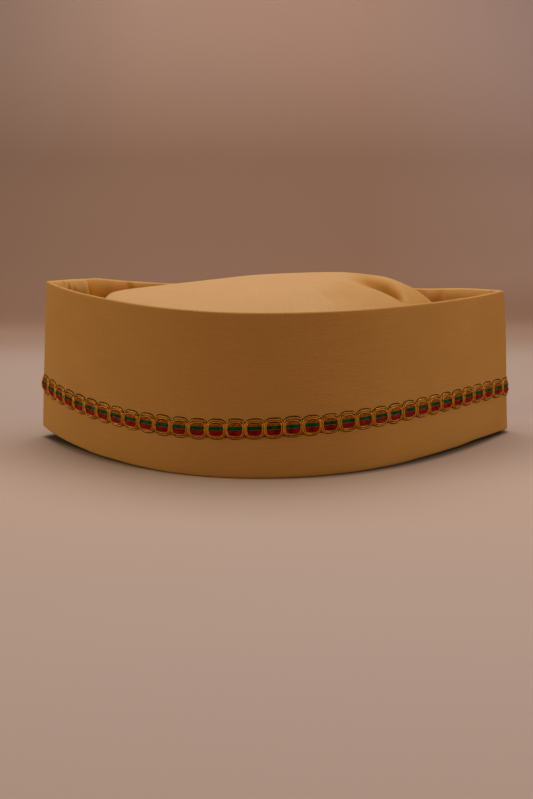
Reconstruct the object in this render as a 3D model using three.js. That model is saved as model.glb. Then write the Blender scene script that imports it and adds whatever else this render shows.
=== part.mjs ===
import * as THREE from "three";
import { mergeVertices } from "three/addons/utils/BufferGeometryUtils.js";

// A boat-shaped cloth cap, resting on its lower edge as it does when it is taken off.
// Millimetres. X runs along the cap, Y from its near side to its far side, and Z up.
// The origin is on the surface under the cap, below the middle of its box.

// Driving dimensions: the turned-up band.
const capLength = 240.76;
const wallHeight = 74;
const wallThickness = 1.6;
const wallLeanDegrees = 3.1;
const endLeanDegrees = 1.3;
const endLeanCurve = 8;
const endFoldRadius = 3;
const tightestFold = 0.5;
const edgeRounding = 0.8;
const restingLength = 76;
const farFoldDepth = 2.2;
const farFoldShareAtFoot = 0.3;

// How far the lower edge lifts off the surface at the two ends, and how late the lift sets in.
const leftEndLift = 5.3;
const rightEndLift = 1.5;
const liftCurve = 1.6;

// Driving dimensions: the soft crown inside the band.
const crownRise = 9.9;
const crownCloth = 1.4;
const crownClearance = 0.5;
const hemClearance = 0.7;
const crownTuckNear = 1.2;
const crownTuckFar = 4;
const pocketSag = 7;
const pocketRounding = 4;
const crownRoundness = 2.2;
const valleyDepth = 4.6;

// Driving dimensions: the braid sewn round the band.
const braidPitch = 8.5;
const firstRungOffset = 1.9;
const braidCentreHeight = 23.4;
const braidWander = 1.6;
const braidHeight = 9.2;
const braidThickness = 1;
const rungWidth = 2;
const rungThickness = 0.3;
const scallopDepth = 1.7;
const hangDepth = 0.6;
const upperRailHeight = 3;
const lowerRailHeight = 1.7;
const threadThickness = 0.4;
const threadGap = 0.3;
const sewnGap = 0.3;

// How many faces the surfaces are made of.
const stepsAlongWall = 38;
const stepsAcrossEnd = 10;
const skirtSteps = 3;
const windowSteps = 3;
const tracingSteps = 400;
const fineStepsAlong = 240;
const fineStepsAcross = 12;
const tightBend = 0.035;
const mergeDistance = 1e-4;
const slopeProbe = 1;

// The near wall seen from above, from the left end to the right end. It is stretched to the cap's length.
const nearBends = [
  { lengthShare: 0.139, turnDegrees: 16.9 },
  { lengthShare: 0.176, turnDegrees: 18.4 },
  { lengthShare: 0.19, turnDegrees: 30.1 },
  { lengthShare: 0.19, turnDegrees: 27.1 },
  { lengthShare: 0.176, turnDegrees: 10.7 },
  { lengthShare: 0.129, turnDegrees: -1.2 },
];

// The far wall, from the right end back to the left end. It is stretched to meet the near wall.
const farBends = [
  { lengthShare: 0.14, turnDegrees: 8 },
  { lengthShare: 0.22, turnDegrees: 22 },
  { lengthShare: 0.28, turnDegrees: 26 },
  { lengthShare: 0.22, turnDegrees: 18 },
  { lengthShare: 0.14, turnDegrees: 6 },
];

// The top edge of both walls, by station along the cap, as shares of the wall's height.
const topEdges = [
  { station: -1, near: 1.077, far: 1.077 },
  { station: -0.82, near: 1.057, far: 1.074 },
  { station: -0.65, near: 1.039, far: 1.036 },
  { station: -0.45, near: 1.019, far: 1 },
  { station: -0.2, near: 1.004, far: 0.973 },
  { station: 0.1, near: 1, far: 0.96 },
  { station: 0.4, near: 0.999, far: 0.96 },
  { station: 0.65, near: 0.995, far: 0.97 },
  { station: 0.85, near: 0.993, far: 0.993 },
  { station: 1, near: 1, far: 1 },
];

// Soft upright folds in the far wall, by share of its length from the right end. A fold's depth is a
// share of the deepest fold's: it pushes inwards, or outwards where the depth is below zero.
const farFolds = [
  { name: "soft fold by the right end", at: 0.17, width: 0.035, depth: 0.55, lean: 0 },
  { name: "soft fold in the middle of the pocket", at: 0.73, width: 0.035, depth: 0.41, lean: 0.01 },
  { name: "hollow beside the ridge", at: 0.875, width: 0.021, depth: -0.55, lean: 0 },
  { name: "ridge near the left end", at: 0.912, width: 0.018, depth: 1, lean: 0 },
  { name: "crease in the left corner", at: 0.955, width: 0.014, depth: -0.41, lean: 0.02 },
];

// The line along the top of the crown: place as a share of half the length of the cap,
// height as a share of the crown's full height.
const crownRidge = [
  { place: -1, height: 0.17 },
  { place: -0.9, height: 0.3 },
  { place: -0.8, height: 0.57 },
  { place: -0.745, height: 0.78 },
  { place: -0.705, height: 0.868 },
  { place: -0.66, height: 0.893 },
  { place: -0.55, height: 0.914 },
  { place: -0.405, height: 0.937 },
  { place: -0.25, height: 0.963 },
  { place: -0.09, height: 0.987 },
  { place: 0.15, height: 1 },
  { place: 0.27, height: 0.998 },
  { place: 0.36, height: 0.986 },
  { place: 0.45, height: 0.967 },
  { place: 0.53, height: 0.924 },
  { place: 0.59, height: 0.878 },
  { place: 0.65, height: 0.8 },
  { place: 0.71, height: 0.66 },
  { place: 0.8, height: 0.46 },
  { place: 0.9, height: 0.28 },
  { place: 1, height: 0.15 },
];

// The valley in the crown near its right end, from the near side to where it fades out.
// Across is the share of the way over to the far side, place and width are shares of half the
// length of the cap, and depth is a share of the valley's full depth.
const crownValley = [
  { across: 0, place: 0.51, width: 0.045, depth: 0.87 },
  { across: 0.2, place: 0.485, width: 0.05, depth: 1 },
  { across: 0.4, place: 0.43, width: 0.06, depth: 0.91 },
  { across: 0.52, place: 0.365, width: 0.06, depth: 0.52 },
  { across: 0.66, place: 0.28, width: 0.06, depth: 0 },
  { across: 1, place: 0.28, width: 0.06, depth: 0 },
];

const colours = { cloth: "#c79a62", gold: "#b8791f", green: "#1f6b3c", red: "#8e1a1a" };

const crownHeight = wallHeight + crownRise;
const mix = THREE.MathUtils.lerp;

// A value read off a table between its rows, with eased steps so that the line has no corners.
function readTable(table, key, column, at) {
  const last = table.length - 1;
  if (at <= table[0][key]) return table[0][column];
  if (at >= table[last][key]) return table[last][column];
  const i = table.findIndex((row) => row[key] > at) - 1;
  const tangentAt = (n) => {
    const before = table[Math.max(n - 1, 0)];
    const after = table[Math.min(n + 1, last)];
    return (after[column] - before[column]) / (after[key] - before[key]);
  };
  const span = table[i + 1][key] - table[i][key];
  const t = (at - table[i][key]) / span;
  const rest = 1 - t;
  return (
    table[i][column] * rest * rest * (1 + 2 * t) +
    table[i + 1][column] * t * t * (3 - 2 * t) +
    tangentAt(i) * span * t * rest * rest -
    tangentAt(i + 1) * span * t * t * rest
  );
}

// Follows a table of bends for a given length and returns evenly spaced places with headings.
function traceBends(bends, length) {
  const totalShare = bends.reduce((sum, bend) => sum + bend.lengthShare, 0);
  const places = [{ x: 0, y: 0, heading: 0 }];
  const step = length / tracingSteps;
  let bendIndex = 0;
  let bendEnd = bends[0].lengthShare / totalShare;
  for (let i = 1; i <= tracingSteps; i++) {
    const share = (i - 0.5) / tracingSteps;
    while (share > bendEnd && bendIndex < bends.length - 1) {
      bendIndex += 1;
      bendEnd += bends[bendIndex].lengthShare / totalShare;
    }
    const bend = bends[bendIndex];
    const bendSteps = (bend.lengthShare / totalShare) * tracingSteps;
    const turn = THREE.MathUtils.degToRad(bend.turnDegrees) / bendSteps;
    const from = places[i - 1];
    const heading = from.heading + turn / 2;
    places.push({
      x: from.x + step * Math.cos(heading),
      y: from.y + step * Math.sin(heading),
      heading: from.heading + turn,
    });
  }
  return places;
}

// Turns and stretches a traced wall so that it runs from one plan point to another.
function fitBetween(places, start, end) {
  const last = places[places.length - 1];
  const turn = Math.atan2(end.y - start.y, end.x - start.x) - Math.atan2(last.y, last.x);
  const stretch = Math.hypot(end.x - start.x, end.y - start.y) / Math.hypot(last.x, last.y);
  return places.map((place) => ({
    x: start.x + stretch * (place.x * Math.cos(turn) - place.y * Math.sin(turn)),
    y: start.y + stretch * (place.x * Math.sin(turn) + place.y * Math.cos(turn)),
    heading: place.heading + turn,
  }));
}

function polylineLength(places) {
  return places.slice(1).reduce((sum, p, i) => sum + Math.hypot(p.x - places[i].x, p.y - places[i].y), 0);
}

// The two walls on the cap's own axes, with their ends on the X axis.
const halfLength = capLength / 2;
const leftEnd = { x: -halfLength, y: 0 };
const rightEnd = { x: halfLength, y: 0 };
const nearWall = fitBetween(traceBends(nearBends, capLength), leftEnd, rightEnd);
const farWall = fitBetween(traceBends(farBends, capLength), rightEnd, leftEnd);
const walls = {
  near: { places: nearWall, length: polylineLength(nearWall) },
  far: { places: farWall, length: polylineLength(farWall) },
};

// A place on a wall by the share of its length, with the heading that the wall has there.
function wallPlace(wall, share) {
  const at = THREE.MathUtils.clamp(share, 0, 1) * tracingSteps;
  const i = Math.min(Math.floor(at), tracingSteps - 1);
  const from = wall.places[i];
  const to = wall.places[i + 1];
  return {
    x: mix(from.x, to.x, at - i),
    y: mix(from.y, to.y, at - i),
    heading: mix(from.heading, to.heading, at - i),
  };
}

function foldDepth(share, level) {
  return farFolds.reduce((sum, fold) => {
    const away = (share - fold.at - fold.lean * level) / fold.width;
    return sum + fold.depth * farFoldDepth * Math.exp(-away * away) * mix(farFoldShareAtFoot, 1, level);
  }, 0);
}

// The station says where along the cap a place is: -1 at the left end and 1 at the right end.
// The lower edge lies flat over its middle and lifts towards both ends.
function lowerEdge(station) {
  const flatShare = restingLength / walls.near.length;
  const beyond = Math.max(Math.abs(station) - flatShare, 0) / (1 - flatShare);
  return (station < 0 ? leftEndLift : rightEndLift) * beyond ** liftCurve;
}

function topEdge(station, side) {
  return wallHeight * readTable(topEdges, "station", side, station);
}

// The slope of the walls: they lean in going up, and more so at the folded ends.
function slopeAt(station) {
  const degrees = wallLeanDegrees + endLeanDegrees * Math.abs(station) ** endLeanCurve;
  return Math.tan(THREE.MathUtils.degToRad(degrees));
}

// How much further in a wall is at a level, 0 at the lower edge and 1 at the top, than at the braid.
function leanAt(level, station) {
  return slopeAt(station) * (level * wallHeight - braidCentreHeight);
}

function wallPoint(side, share, inward, level) {
  const place = wallPlace(walls[side], share);
  const offset = inward + leanAt(level, 2 * share - 1) + (side === "far" ? foldDepth(share, level) : 0);
  return {
    x: place.x - offset * Math.sin(place.heading),
    y: place.y + offset * Math.cos(place.heading),
    heading: place.heading,
  };
}

// How sharply the two walls meet at an end, as the angle that the outline turns there.
const turnAtRight = walls.far.places[0].heading - walls.near.places[tracingSteps].heading;
const turnAtLeft = walls.near.places[0].heading + 2 * Math.PI - walls.far.places[tracingSteps].heading;

// The outline of the band seen from above, at an inward distance from its outer face.
// levelAt gives each place's level. The order is near wall, right end, far wall, left end.
function outline(inward, levelAt, alongSteps = stepsAlongWall, acrossSteps = stepsAcrossEnd) {
  const radiusAt = (level) => Math.max(endFoldRadius - inward - leanAt(level, 1), tightestFold);
  const cutFor = (turn, level) => {
    const across = inward + leanAt(level, 1) + radiusAt(level);
    return across * Math.tan(turn / 2);
  };
  const wallRun = (side) => {
    const turns = side === "near" ? [turnAtLeft, turnAtRight] : [turnAtRight, turnAtLeft];
    const direction = side === "near" ? 1 : -1;
    return Array.from({ length: alongSteps + 1 }, (_, i) => {
      const station = direction * mix(-1, 1, i / alongSteps);
      const level = levelAt(station, side);
      const from = cutFor(turns[0], level) / walls[side].length;
      const to = 1 - cutFor(turns[1], level) / walls[side].length;
      const point = wallPoint(side, mix(from, to, i / alongSteps), inward, level);
      return { ...point, station, side, level };
    });
  };
  const endRun = (from, to, station, turn) => {
    const level = from.level;
    const reach = (4 / 3) * Math.tan(turn / 4) * radiusAt(level);
    const curve = new THREE.CubicBezierCurve(
      new THREE.Vector2(from.x, from.y),
      new THREE.Vector2(from.x + reach * Math.cos(from.heading), from.y + reach * Math.sin(from.heading)),
      new THREE.Vector2(to.x - reach * Math.cos(to.heading), to.y - reach * Math.sin(to.heading)),
      new THREE.Vector2(to.x, to.y),
    );
    return Array.from({ length: acrossSteps - 1 }, (_, i) => {
      const t = (i + 1) / acrossSteps;
      const point = curve.getPoint(t);
      const side = t < 0.5 ? "near" : "far";
      return { x: point.x, y: point.y, heading: from.heading + turn * t, station, side, level };
    });
  };
  const near = wallRun("near");
  const far = wallRun("far");
  const right = endRun(near[alongSteps], far[0], 1, turnAtRight);
  const left = endRun(far[alongSteps], near[0], -1, turnAtLeft);
  return [...near, ...right, ...far, ...left];
}

const lift = (place, z) => new THREE.Vector3(place.x, place.y, z);

// A closed mesh from triangles whose corners are given as points.
function meshOf(triangles, name, material) {
  const corners = new THREE.BufferGeometry().setFromPoints(triangles.flat());
  const geometry = mergeVertices(corners, mergeDistance);
  geometry.computeVertexNormals();
  const mesh = new THREE.Mesh(geometry, material);
  mesh.name = name;
  return mesh;
}

// Two triangles for each square between two rows of points. A closed row ends where it starts.
function stitch(rowBelow, rowAbove, closed = true) {
  const count = closed ? rowBelow.length : rowBelow.length - 1;
  return Array.from({ length: count }, (_, k) => {
    const next = (k + 1) % rowBelow.length;
    return [
      [rowBelow[k], rowBelow[next], rowAbove[next]],
      [rowBelow[k], rowAbove[next], rowAbove[k]],
    ];
  }).flat();
}

// The turned-up band: a ring wall with rounded edges. Each row of the section gives how far
// in it lies, as a share of the thickness, and how far it stands from the lower or the top edge.
function makeBand(material) {
  const section = [
    { inward: 0.15, from: "lower", by: 0 },
    { inward: 0, from: "lower", by: 0.5 },
    { inward: 0, from: "middle", by: 0 },
    { inward: 0, from: "top", by: 1 },
    { inward: 0.16, from: "top", by: 0.3 },
    { inward: 0.5, from: "top", by: 0 },
    { inward: 0.84, from: "top", by: 0.3 },
    { inward: 1, from: "top", by: 1 },
    { inward: 1, from: "middle", by: 0 },
    { inward: 1, from: "lower", by: 0.5 },
    { inward: 0.85, from: "lower", by: 0 },
  ];
  const heightAt = (row, station, side) => {
    const lower = lowerEdge(station);
    const top = topEdge(station, side);
    if (row.from === "lower") return lower + row.by * edgeRounding;
    if (row.from === "top") return top - row.by * edgeRounding;
    return (lower + top) / 2;
  };
  const rows = section.map((row) => {
    const levelAt = (station, side) => heightAt(row, station, side) / wallHeight;
    return outline(row.inward * wallThickness, levelAt).map((place) =>
      lift(place, heightAt(row, place.station, place.side)),
    );
  });
  const triangles = rows.map((row, i) => stitch(row, rows[(i + 1) % rows.length])).flat();
  return meshOf(triangles, "band", material);
}

// The height of the crown's top by place along the cap and share of the way across it.
function crownTop(x, across, station) {
  const place = THREE.MathUtils.clamp(x / halfLength, -1, 1);
  const ridge = crownHeight * readTable(crownRidge, "place", "height", place);
  const side = across < 0.5 ? "near" : "far";
  const tuck = side === "near" ? crownTuckNear : crownTuckFar;
  const inPocket = ridge - pocketSag;
  const atWall = topEdge(station, side) - tuck;
  const away = Math.abs(2 * across - 1);
  const edge = softLower(inPocket, atWall, pocketRounding);
  const valley = valleyDepth * readTable(crownValley, "across", "depth", across);
  const valleyPlace = readTable(crownValley, "across", "place", across);
  const valleyWidth = readTable(crownValley, "across", "width", across);
  const off = (place - valleyPlace) / valleyWidth;
  return mix(ridge, edge, away ** crownRoundness) - valley * Math.exp(-off * off);
}

// The lower of two heights, rounded off where they cross.
function softLower(a, b, rounding) {
  const near = Math.max(rounding - Math.abs(a - b), 0) / rounding;
  return Math.min(a, b) - (near * near * rounding) / 4;
}

// Fills the inside of an outline with a grid: along the cap in one direction and across in the other.
function fillOutline(loop) {
  const n = stepsAlongWall;
  const m = stepsAcrossEnd;
  const near = loop.slice(0, n + 1);
  const right = [loop[n], ...loop.slice(n + 1, n + m), loop[n + m]];
  const far = loop.slice(n + m, 2 * n + m + 1).reverse();
  const left = [loop[0], ...loop.slice(2 * n + m + 1).reverse(), loop[2 * n + m]];
  const blend = (key, a, b, i, j) =>
    mix(near[j][key], far[j][key], b) +
    mix(left[i][key], right[i][key], a) -
    mix(mix(near[0][key], near[n][key], a), mix(far[0][key], far[n][key], a), b);
  return Array.from({ length: m + 1 }, (_, i) =>
    Array.from({ length: n + 1 }, (_, j) => {
      const a = j / n;
      const b = i / m;
      return { x: blend("x", a, b, i, j), y: blend("y", a, b, i, j), across: b, station: mix(-1, 1, a) };
    }),
  );
}

// The rim of a filled grid as a loop, in the same order as an outline.
function rimOf(grid) {
  const last = grid.length - 1;
  const end = grid[0].length - 1;
  return [
    ...grid[0],
    ...grid.slice(1, last).map((row) => row[end]),
    ...[...grid[last]].reverse(),
    ...grid.slice(1, last).map((row) => row[0]).reverse(),
  ];
}

// The crown: a puffed cloth top that dives into a pocket at each end, with a skirt down the
// inside of the band to a hem just above its lower edge.
function makeCrown(material) {
  const outerInset = wallThickness + crownClearance;
  const innerInset = outerInset + crownCloth;
  const topHeight = (point) => crownTop(point.x, point.across, point.station);
  const rimLevel = (inset) => (station, side) => {
    const across = side === "near" ? 0 : 1;
    const plan = wallPoint(side, side === "near" ? (station + 1) / 2 : (1 - station) / 2, inset, 1);
    return crownTop(plan.x, across, station) / wallHeight;
  };
  const outerPlan = fillOutline(outline(outerInset, rimLevel(outerInset)));
  const innerPlan = fillOutline(outline(innerInset, rimLevel(innerInset)));
  const outer = outerPlan.map((row) => row.map((point) => lift(point, topHeight(point))));

  // The underside lies one cloth thickness below, measured square to the slope.
  const inner = innerPlan.map((row) =>
    row.map((point) => {
      const further = crownTop(point.x + slopeProbe, point.across, point.station);
      const rise = (further - topHeight(point)) / slopeProbe;
      const floor = lowerEdge(point.station) + hemClearance + crownCloth;
      return lift(point, Math.max(topHeight(point) - crownCloth * Math.hypot(1, rise), floor));
    }),
  );
  const hemHeight = (station) => lowerEdge(station) + hemClearance;
  const skirt = (inset, rim) => {
    const stations = outline(inset, () => 0);
    const rows = Array.from({ length: skirtSteps }, (_, i) => {
      const heights = rim.map((point, k) => mix(hemHeight(stations[k].station), point.z, i / skirtSteps));
      const byStation = new Map(stations.map((p, k) => [p.station + p.side, heights[k] / wallHeight]));
      const loop = outline(inset, (station, side) => byStation.get(station + side));
      return loop.map((place, k) => lift(place, heights[k]));
    });
    return [...rows, rim];
  };
  const outerSkirt = skirt(outerInset, rimOf(outer));
  const innerSkirt = skirt(innerInset, rimOf(inner));
  const triangles = [];
  for (let i = 0; i < skirtSteps; i++) {
    triangles.push(...stitch(outerSkirt[i], outerSkirt[i + 1]));
    triangles.push(...stitch(innerSkirt[i + 1], innerSkirt[i]));
  }
  for (let i = 0; i < stepsAcrossEnd; i++) {
    triangles.push(...stitch(outer[i], outer[i + 1], false));
    triangles.push(...stitch(inner[i + 1], inner[i], false));
  }
  triangles.push(...stitch(innerSkirt[0], outerSkirt[0]));
  return meshOf(triangles, "crown", material);
}

// Places round the outside of the band at the height of the braid, for a whole number of repeats.
// Each repeat is one rung and the window after it.
function braidPlaces() {
  const traced = outline(0, () => braidCentreHeight / wallHeight, fineStepsAlong, fineStepsAcross);
  const fine = traced.map((place, k) => {
    const before = traced[(k + traced.length - 1) % traced.length];
    const after = traced[(k + 1) % traced.length];
    return { ...place, heading: Math.atan2(after.y - before.y, after.x - before.x) };
  });
  const lengths = [0];
  fine.forEach((place, k) => {
    const next = fine[(k + 1) % fine.length];
    lengths.push(lengths[k] + Math.hypot(next.x - place.x, next.y - place.y));
  });
  const total = lengths[fine.length];
  const repeats = Math.round(total / braidPitch);
  const pitch = total / repeats;
  const start = lengths[fineStepsAlong / 2] + firstRungOffset - rungWidth / 2;
  const placeAt = (distance) => {
    const at = (distance + total) % total;
    const k = Math.max(lengths.findIndex((length) => length > at) - 1, 0);
    const next = fine[(k + 1) % fine.length];
    const t = (at - lengths[k]) / (lengths[k + 1] - lengths[k]);
    const turn = ((next.heading - fine[k].heading + 3 * Math.PI) % (2 * Math.PI)) - Math.PI;
    return {
      x: mix(fine[k].x, next.x, t),
      y: mix(fine[k].y, next.y, t),
      heading: fine[k].heading + turn * t,
      station: mix(fine[k].station, next.station, t),
      side: fine[k].side,
    };
  };
  return Array.from({ length: repeats }, (_, n) =>
    Array.from({ length: windowSteps + 1 }, (_, i) => {
      const into = i === 0 ? 0 : rungWidth + ((pitch - rungWidth) * (i - 1)) / windowSteps;
      const span = i === 0 ? rungWidth : (pitch - rungWidth) / windowSteps;
      const place = placeAt(start + n * pitch + into);
      const after = placeAt(start + n * pitch + into + span);
      const before = placeAt(start + n * pitch + into - span);
      const turned = (angle) => Math.abs(((angle + 3 * Math.PI) % (2 * Math.PI)) - Math.PI);
      const bending = Math.max(turned(after.heading - place.heading), turned(place.heading - before.heading));
      const windowShare = i === 0 ? 0 : (i - 1) / windowSteps;
      return { ...place, clearOfBend: (span * bending) / 4, isRung: i === 0, windowShare, bending };
    }),
  ).flat();
}

function braidMiddle(place) {
  const wander = place.side === "near" ? braidWander * Math.sin(Math.PI * place.station) : 0;
  return lowerEdge(place.station) + braidCentreHeight + wander;
}

// A point of the braid, out from the wall and up from the braid's middle line.
function braidPoint(place, out, up) {
  const z = braidMiddle(place) + up;
  const leanHere = slopeAt(place.station) * (z - braidCentreHeight);
  const offset = out + place.clearOfBend - leanHere;
  return new THREE.Vector3(
    place.x + offset * Math.sin(place.heading),
    place.y - offset * Math.cos(place.heading),
    z,
  );
}

// The gold braid: an upper and a lower rail joined by a rung at each repeat, with the two
// coloured threads running in the windows under the rungs. The rails' outer edges are scalloped.
function makeGoldBraid(places, material) {
  const top = braidHeight / 2;
  const face = sewnGap + braidThickness;
  const underRung = face - rungThickness;
  const bulge = (place) => (place.isRung ? 0 : Math.sin(Math.PI * place.windowShare));
  const upper = places.map((place) => {
    const edge = top - scallopDepth * (1 - bulge(place));
    const sill = top - upperRailHeight;
    return [
      braidPoint(place, underRung, sill),
      braidPoint(place, face, sill),
      braidPoint(place, face, edge),
      braidPoint(place, sewnGap, edge),
      braidPoint(place, sewnGap, sill),
    ];
  });
  const lower = places.map((place) => {
    const edge = -top + hangDepth * (1 - bulge(place));
    const sill = -top + lowerRailHeight;
    return [
      braidPoint(place, underRung, sill),
      braidPoint(place, sewnGap, sill),
      braidPoint(place, sewnGap, edge),
      braidPoint(place, face, edge),
      braidPoint(place, face, sill),
    ];
  });
  const square = (a, b, c, d) => [[a, b, c], [a, c, d]];
  const triangles = [];
  places.forEach((place, k) => {
    const next = (k + 1) % places.length;
    const isOpen = !place.isRung;
    const [up, upNext, low, lowNext] = [upper[k], upper[next], lower[k], lower[next]];
    for (let i = 0; i < up.length; i++) {
      const j = (i + 1) % up.length;
      if (isOpen || i !== 0) triangles.push(...square(up[i], upNext[i], upNext[j], up[j]));
      if (isOpen || i !== low.length - 1) triangles.push(...square(low[i], lowNext[i], lowNext[j], low[j]));
    }
    if (isOpen) return;
    triangles.push(...square(low[4], lowNext[4], upNext[1], up[1]));
    triangles.push(...square(up[0], upNext[0], lowNext[0], low[0]));
    triangles.push(...square(low[4], up[1], up[0], low[0]));
    triangles.push(...square(lowNext[0], upNext[0], upNext[1], lowNext[4]));
  });
  return meshOf(triangles, "braid_gold", material);
}

// A coloured thread: a flat ring between the rails, under the rungs.
function makeThread(places, name, lowest, highest, material) {
  const held = places.filter((place) => place.isRung || place.bending > tightBend);
  const rows = [
    { out: sewnGap + threadThickness, up: lowest },
    { out: sewnGap + threadThickness, up: highest },
    { out: sewnGap, up: highest },
    { out: sewnGap, up: lowest },
  ].map((corner) => held.map((place) => braidPoint(place, corner.out, corner.up)));
  const triangles = rows.map((row, i) => stitch(row, rows[(i + 1) % rows.length])).flat();
  return meshOf(triangles, name, material);
}

function makeBraid(materials) {
  const places = braidPlaces();
  const windowTop = braidHeight / 2 - upperRailHeight;
  const windowFoot = -braidHeight / 2 + lowerRailHeight;
  const middle = (windowTop + windowFoot) / 2;
  const braid = new THREE.Group();
  braid.add(
    makeGoldBraid(places, materials.gold),
    makeThread(places, "braid_green_thread", middle + threadGap / 2, windowTop - threadGap, materials.green),
    makeThread(places, "braid_red_thread", windowFoot + threadGap, middle - threadGap / 2, materials.red),
  );
  return braid;
}

const cloth = new THREE.MeshStandardMaterial({ color: colours.cloth, roughness: 0.72, metalness: 0 });
const gold = new THREE.MeshStandardMaterial({ color: colours.gold, roughness: 0.4, metalness: 0.6 });
const green = new THREE.MeshStandardMaterial({ color: colours.green, roughness: 0.6, metalness: 0 });
const red = new THREE.MeshStandardMaterial({ color: colours.red, roughness: 0.6, metalness: 0 });

const pieces = new THREE.Group();
pieces.add(makeBand(cloth), makeCrown(cloth), makeBraid({ gold, green, red }));

// The middle of the cap's box goes over the origin.
const middle = new THREE.Box3().setFromObject(pieces).getCenter(new THREE.Vector3());
pieces.position.set(-middle.x, -middle.y, 0);

const cap = new THREE.Group();
cap.add(pieces);

export default cap;
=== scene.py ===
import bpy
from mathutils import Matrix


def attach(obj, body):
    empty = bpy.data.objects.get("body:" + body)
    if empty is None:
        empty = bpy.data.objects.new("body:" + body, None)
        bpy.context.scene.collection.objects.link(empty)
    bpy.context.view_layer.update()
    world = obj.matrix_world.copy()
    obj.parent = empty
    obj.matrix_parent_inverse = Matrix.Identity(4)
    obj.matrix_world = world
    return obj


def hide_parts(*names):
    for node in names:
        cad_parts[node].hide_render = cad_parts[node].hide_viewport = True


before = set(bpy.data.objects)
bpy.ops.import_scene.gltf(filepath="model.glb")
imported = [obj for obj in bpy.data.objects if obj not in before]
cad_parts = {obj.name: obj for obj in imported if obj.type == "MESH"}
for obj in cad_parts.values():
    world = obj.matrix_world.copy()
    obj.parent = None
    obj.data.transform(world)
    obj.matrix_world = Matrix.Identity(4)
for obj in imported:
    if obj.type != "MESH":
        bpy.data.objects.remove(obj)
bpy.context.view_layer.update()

import math
import bpy
import numpy as np

# A boat-shaped cloth cap with a turned-up band, a puffed crown and a narrow braid.
# Lengths are worked out in millimetres and made metres when a mesh is filled.
mm = 0.001
scene = bpy.context.scene

# The cap's form, as the solid parts have it.
capForm = {
    "capLength": 240.76,
    "wallHeight": 74.0,
    "wallThickness": 1.6,
    "wallLeanDegrees": 3.1,
    "endLeanDegrees": 1.3,
    "endLeanCurve": 8.0,
    "endFoldRadius": 3.0,
    "tightestFold": 0.5,
    "restingLength": 76.0,
    "leftEndLift": 5.3,
    "rightEndLift": 1.5,
    "liftCurve": 1.6,
    "farFoldDepth": 2.2,
    "farFoldShareAtFoot": 0.3,
    "tracingSteps": 400,
    "middleShift": (0.311, 11.456),
}
wallHeight = capForm["wallHeight"]
nearBends = {
    "shares": [0.139, 0.176, 0.19, 0.19, 0.176, 0.129],
    "turns": [16.9, 18.4, 30.1, 27.1, 10.7, -1.2],
}
farBends = {"shares": [0.14, 0.22, 0.28, 0.22, 0.14], "turns": [8, 22, 26, 18, 6]}
topEdges = {
    "station": [-1, -0.82, -0.65, -0.45, -0.2, 0.1, 0.4, 0.65, 0.85, 1],
    "near": [1.077, 1.057, 1.039, 1.019, 1.004, 1, 0.999, 0.995, 0.993, 1],
    "far": [1.077, 1.074, 1.036, 1, 0.973, 0.96, 0.96, 0.97, 0.993, 1],
}
farFolds = {
    "at": [0.17, 0.73, 0.875, 0.912, 0.955],
    "width": [0.035, 0.035, 0.021, 0.018, 0.014],
    "depth": [0.55, 0.41, -0.55, 1, -0.41],
    "lean": [0, 0.01, 0, 0, 0.02],
}


def mix(a, b, t):
    return a + (b - a) * t


# How far something has set in at a place: 0 up to its start and 1 from the end of its stretch.
def setIn(place, start, stretch):
    return np.clip((place - start) / stretch, 0, 1)


# A smooth curve through a table's rows: cubic pieces whose slope at each row follows its neighbours.
def readTable(at, places, values):
    places, values = np.asarray(places, float), np.asarray(values, float)
    count = len(places)
    before = np.maximum(np.arange(count) - 1, 0)
    after = np.minimum(np.arange(count) + 1, count - 1)
    slopes = (values[after] - values[before]) / (places[after] - places[before])
    at = np.clip(at, places[0], places[-1])
    row = np.clip(np.searchsorted(places, at, side="right") - 1, 0, count - 2)
    span = places[row + 1] - places[row]
    t = (at - places[row]) / span
    rest = 1 - t
    level = values[row] * rest * rest * (1 + 2 * t) + values[row + 1] * t * t * (3 - 2 * t)
    return level + slopes[row] * span * t * rest * rest - slopes[row + 1] * span * t * t * rest


# A wall seen from above: its heading turns evenly along each bend, and the place follows the heading.
def traceBends(bends, length):
    steps = capForm["tracingSteps"]
    shares = np.array(bends["shares"]) / sum(bends["shares"])
    middles = (np.arange(steps) + 0.5) / steps
    bend = np.clip(np.searchsorted(np.cumsum(shares), middles), 0, len(shares) - 1)
    turn = np.radians(np.array(bends["turns"], float))[bend] / (shares[bend] * steps)
    heading = np.concatenate([[0], np.cumsum(turn)])
    halfway = heading[:-1] + turn / 2
    x = np.concatenate([[0], np.cumsum(np.cos(halfway))]) * length / steps
    y = np.concatenate([[0], np.cumsum(np.sin(halfway))]) * length / steps
    return x, y, heading


# Turns and stretches a traced wall so that it runs between two places on the X axis.
def fitBetween(trace, start, end):
    x, y, heading = trace
    turn = (0 if end > start else math.pi) - math.atan2(y[-1], x[-1])
    stretch = abs(end - start) / math.hypot(x[-1], y[-1])
    newX = start + stretch * (x * math.cos(turn) - y * math.sin(turn))
    newY = stretch * (x * math.sin(turn) + y * math.cos(turn))
    length = np.hypot(np.diff(newX), np.diff(newY)).sum()
    return {"x": newX, "y": newY, "heading": heading + turn, "length": length}


halfLength = capForm["capLength"] / 2
walls = {
    "near": fitBetween(traceBends(nearBends, capForm["capLength"]), -halfLength, halfLength),
    "far": fitBetween(traceBends(farBends, capForm["capLength"]), halfLength, -halfLength),
}
turnAtRight = walls["far"]["heading"][0] - walls["near"]["heading"][-1]
turnAtLeft = walls["near"]["heading"][0] + 2 * math.pi - walls["far"]["heading"][-1]


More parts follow.
